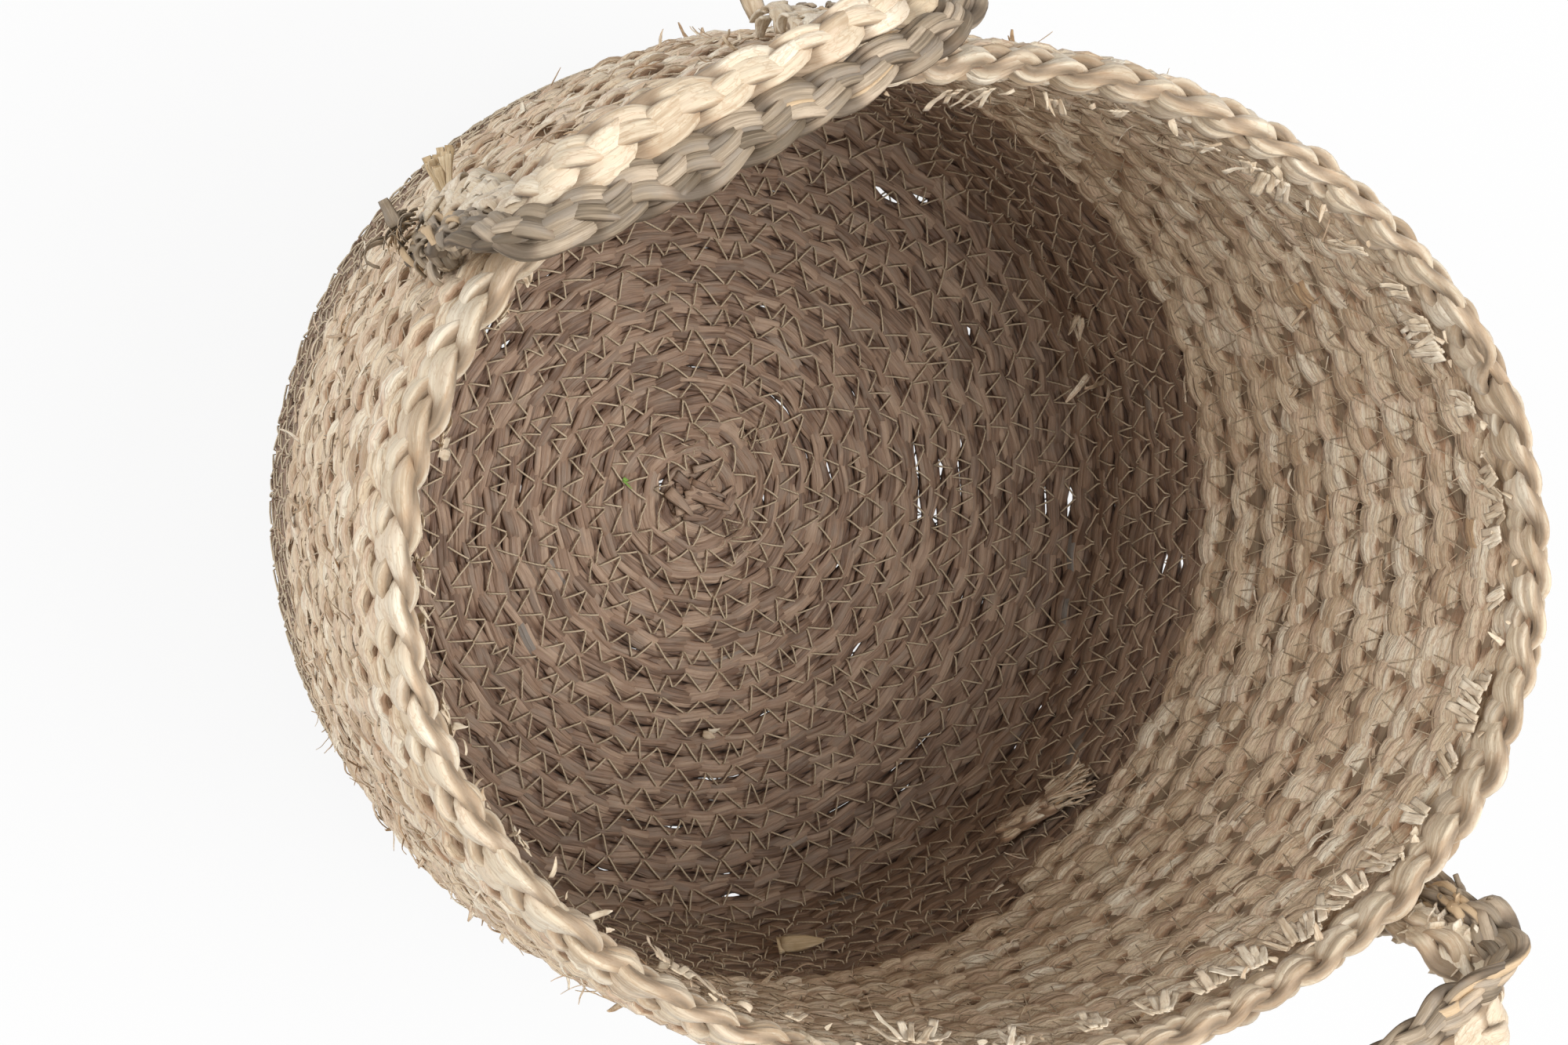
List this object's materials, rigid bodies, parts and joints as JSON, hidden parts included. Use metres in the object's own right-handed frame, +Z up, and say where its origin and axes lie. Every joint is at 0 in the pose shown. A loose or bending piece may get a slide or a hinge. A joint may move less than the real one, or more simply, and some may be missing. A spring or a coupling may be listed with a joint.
{
  "type": "fibre basket",
  "caption": "Round soft basket of plaited rush and maize husk, wound in a spiral and sewn, with a thick plaited rim and two plaited strap handles.",
  "frame": {"origin": "on the floor plane under the start of the coil, at the middle of the round base", "axes": "+Z up through the mouth, +X towards handle b and -X towards handle a, +Y completes the right-handed frame; the mouth's long axis lies at 50 degrees from +X towards +Y"},
  "size_m": [0.3288, 0.3008, 0.2871],
  "materials": {
    "rush": "dry rush leaf, pinkish brown with some blue-grey leaves, matt",
    "husk": "dry maize husk, cream with tan and reddish streaks, satin on the broad lobes",
    "grass": "dry sea grass, grey-green to tan, satin",
    "thread": "thin waxed sewing thread, light brown"
  },
  "bodies": {
    "basket": {"rush_coil": "rush", "husk_coil": "husk", "rim_plait": "husk", "splice_tail": "husk", "handle_a_left_husk_tail": "husk", "handle_a_left_grass_tail": "grass", "handle_a_left_lashing": "thread", "handle_a_right_husk_tail": "husk", "handle_a_right_grass_tail": "grass", "handle_a_right_lashing": "thread", "handle_b_left_husk_tail": "husk", "handle_b_left_grass_tail": "grass", "handle_b_left_lashing": "thread", "handle_b_right_husk_tail": "husk", "handle_b_right_grass_tail": "grass", "handle_b_right_lashing": "thread"},
    "handle_a": {"handle_a_husk_loop": "husk", "handle_a_grass_loop": "grass"},
    "handle_b": {"handle_b_husk_loop": "husk", "handle_b_grass_loop": "grass"}
  },
  "joints": [
    {"name": "handle_a_swing", "type": "hinge", "parent": "basket", "child": "handle_a", "pos_m": [-0.14057, -0.01331, 0.2399], "axis": [-0.1081, -0.9941, 0], "range_deg": [-85, 90]},
    {"name": "handle_b_swing", "type": "hinge", "parent": "basket", "child": "handle_b", "pos_m": [0.13821, 0.00112, 0.2399], "axis": [0.1843, 0.9829, 0], "range_deg": [-105, 44]}
  ]
}
